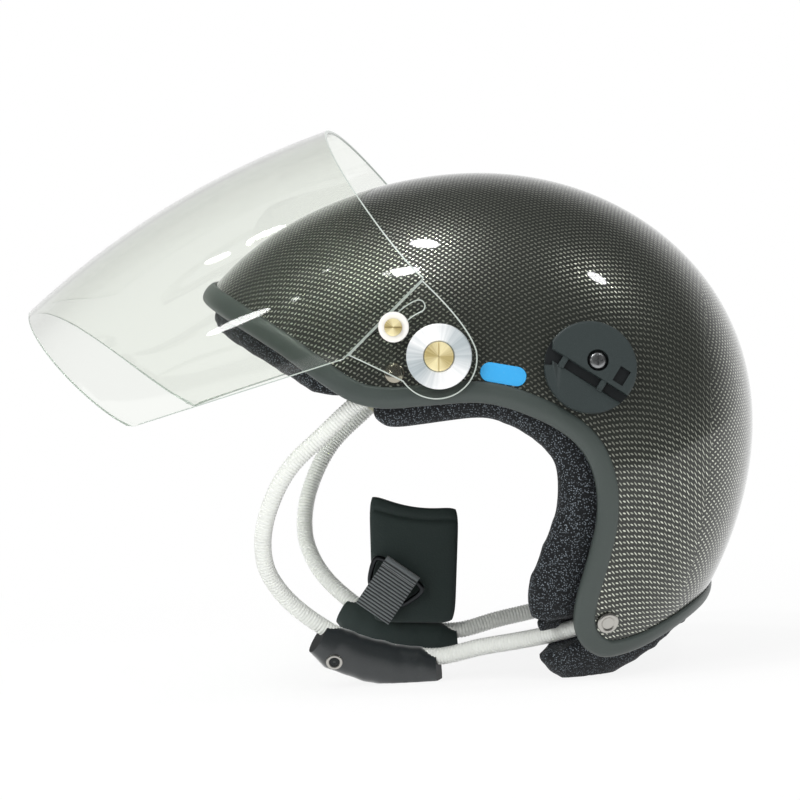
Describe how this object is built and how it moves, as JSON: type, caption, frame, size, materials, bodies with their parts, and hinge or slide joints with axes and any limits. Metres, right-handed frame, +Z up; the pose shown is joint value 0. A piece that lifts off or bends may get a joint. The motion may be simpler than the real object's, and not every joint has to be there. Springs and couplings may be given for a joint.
{
  "type": "paramotor helmet",
  "caption": "Open-face flying helmet with a raised clear visor, side mounts for an ear-cup headset, ribbed jaw hoops with leather covers and a padded throat flap.",
  "frame": {"origin": "centre of the bounding box on the ground under the nape pad and the jaw covers", "axes": "-X to the front of the helmet, +Y to the wearer's right, +Z up"},
  "size_m": [0.356, 0.2432, 0.2711],
  "materials": {
    "carbon": "lacquered carbon weave",
    "trim": "extruded black rubber",
    "foam": "moulded bead foam",
    "padding": "brushed black mesh over foam",
    "webbing": "woven black webbing",
    "clear": "clear moulded sheet",
    "aluminium": "face-turned",
    "brass": "turned",
    "chrome": "plated",
    "steel": "bright steel",
    "nylon": "satin white moulding",
    "mount": "fine-grained dark moulding",
    "sleeve": "ribbed white tube",
    "leather": "smooth black leather"
  },
  "bodies": {
    "helmet": {"shell": "carbon", "edge_trim": "trim", "impact_liner": "foam", "brow_pad": "padding", "left_ear_pad": "padding", "right_ear_pad": "padding", "nape_pad": "padding", "crown_pad": "padding", "left_pivot_spacer": "nylon", "left_pivot_disc": "aluminium", "left_pivot_screw": "brass", "left_pivot_nut": "steel", "left_stop_post": "nylon", "left_stop_washer": "nylon", "left_stop_screw": "brass", "left_headset_base": "trim", "left_headset_plate": "mount", "left_headset_screw": "steel", "left_headset_nut": "steel", "left_temple_rivet": "chrome", "left_lobe_rivet": "chrome", "left_hoop_core": "steel", "left_hoop_sleeve": "sleeve", "left_jaw_cover": "leather", "right_pivot_spacer": "nylon", "right_pivot_disc": "aluminium", "right_pivot_screw": "brass", "right_pivot_nut": "steel", "right_stop_post": "nylon", "right_stop_washer": "nylon", "right_stop_screw": "brass", "right_headset_base": "trim", "right_headset_plate": "mount", "right_headset_screw": "steel", "right_headset_nut": "steel", "right_temple_rivet": "chrome", "right_lobe_rivet": "chrome", "right_hoop_core": "steel", "right_hoop_sleeve": "sleeve", "right_jaw_cover": "leather"},
    "visor": {"visor": "clear"},
    "flap": {"throat_pad": "padding", "chin_webbing": "webbing", "chin_ring": "steel"}
  },
  "joints": [
    {"name": "visor_pivot", "type": "hinge", "parent": "helmet", "child": "visor", "pos_m": [0.0343, 0, 0.1595], "axis": [0, -1, 0], "range_deg": [0, 35]},
    {"name": "flap_seam", "type": "hinge", "parent": "helmet", "child": "flap", "pos_m": [-0.00112, 0.0481, 0.01651], "axis": [0.9979, 0, -0.0654], "range_deg": [-16, 90]}
  ]
}
